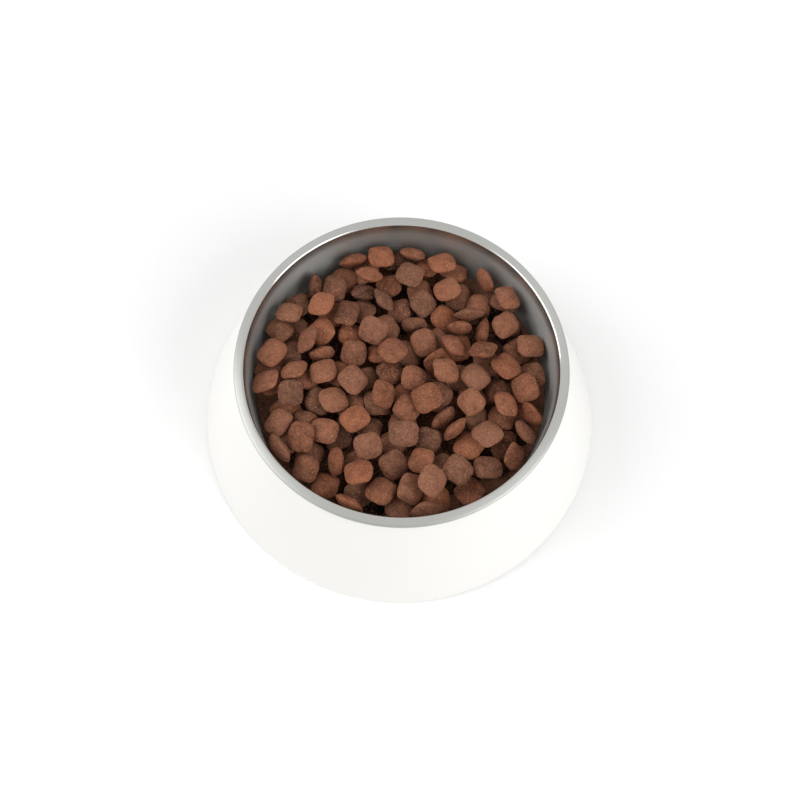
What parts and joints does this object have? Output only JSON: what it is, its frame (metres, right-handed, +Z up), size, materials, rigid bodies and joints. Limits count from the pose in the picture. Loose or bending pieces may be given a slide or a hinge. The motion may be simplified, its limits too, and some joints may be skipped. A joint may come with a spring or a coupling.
{
  "type": "pet bowl with dry food",
  "caption": "Round pet feeding bowl: a flared white stand holds a hemmed steel bowl by its rim, and the bowl is filled with pillow-shaped brown dry kibble.",
  "frame": {"origin": "on the floor, under the middle of the stand", "axes": "+Z up out of the bowl's mouth, -Y towards the front, +X to the right"},
  "size_m": [0.182, 0.182, 0.0579],
  "materials": {
    "melamine": "satin gloss",
    "steel": "satin",
    "rubber": "matte",
    "kibble": "matte"
  },
  "bodies": {
    "root": {"stand": "melamine", "non_slip_ring": "rubber", "steel_bowl": "steel", "kibble_bed": "kibble", "kibble_01": "kibble", "kibble_02": "kibble", "kibble_03": "kibble", "kibble_04": "kibble", "kibble_05": "kibble", "kibble_06": "kibble", "kibble_07": "kibble", "kibble_08": "kibble", "kibble_09": "kibble", "kibble_10": "kibble", "kibble_11": "kibble", "kibble_12": "kibble", "kibble_13": "kibble", "kibble_14": "kibble", "kibble_15": "kibble", "kibble_16": "kibble", "kibble_17": "kibble", "kibble_18": "kibble", "kibble_19": "kibble", "kibble_20": "kibble", "kibble_21": "kibble", "kibble_22": "kibble", "kibble_23": "kibble", "kibble_24": "kibble", "kibble_25": "kibble", "kibble_26": "kibble", "kibble_27": "kibble", "kibble_28": "kibble", "kibble_29": "kibble", "kibble_30": "kibble", "kibble_31": "kibble", "kibble_32": "kibble", "kibble_33": "kibble", "kibble_34": "kibble", "kibble_35": "kibble", "kibble_36": "kibble", "kibble_37": "kibble", "kibble_38": "kibble", "kibble_39": "kibble", "kibble_40": "kibble", "kibble_41": "kibble", "kibble_42": "kibble", "kibble_43": "kibble", "kibble_44": "kibble", "kibble_45": "kibble", "kibble_46": "kibble", "kibble_47": "kibble", "kibble_48": "kibble", "kibble_49": "kibble", "kibble_50": "kibble", "kibble_51": "kibble", "kibble_52": "kibble", "kibble_53": "kibble", "kibble_54": "kibble", "kibble_55": "kibble", "kibble_56": "kibble"}
  },
  "joints": []
}
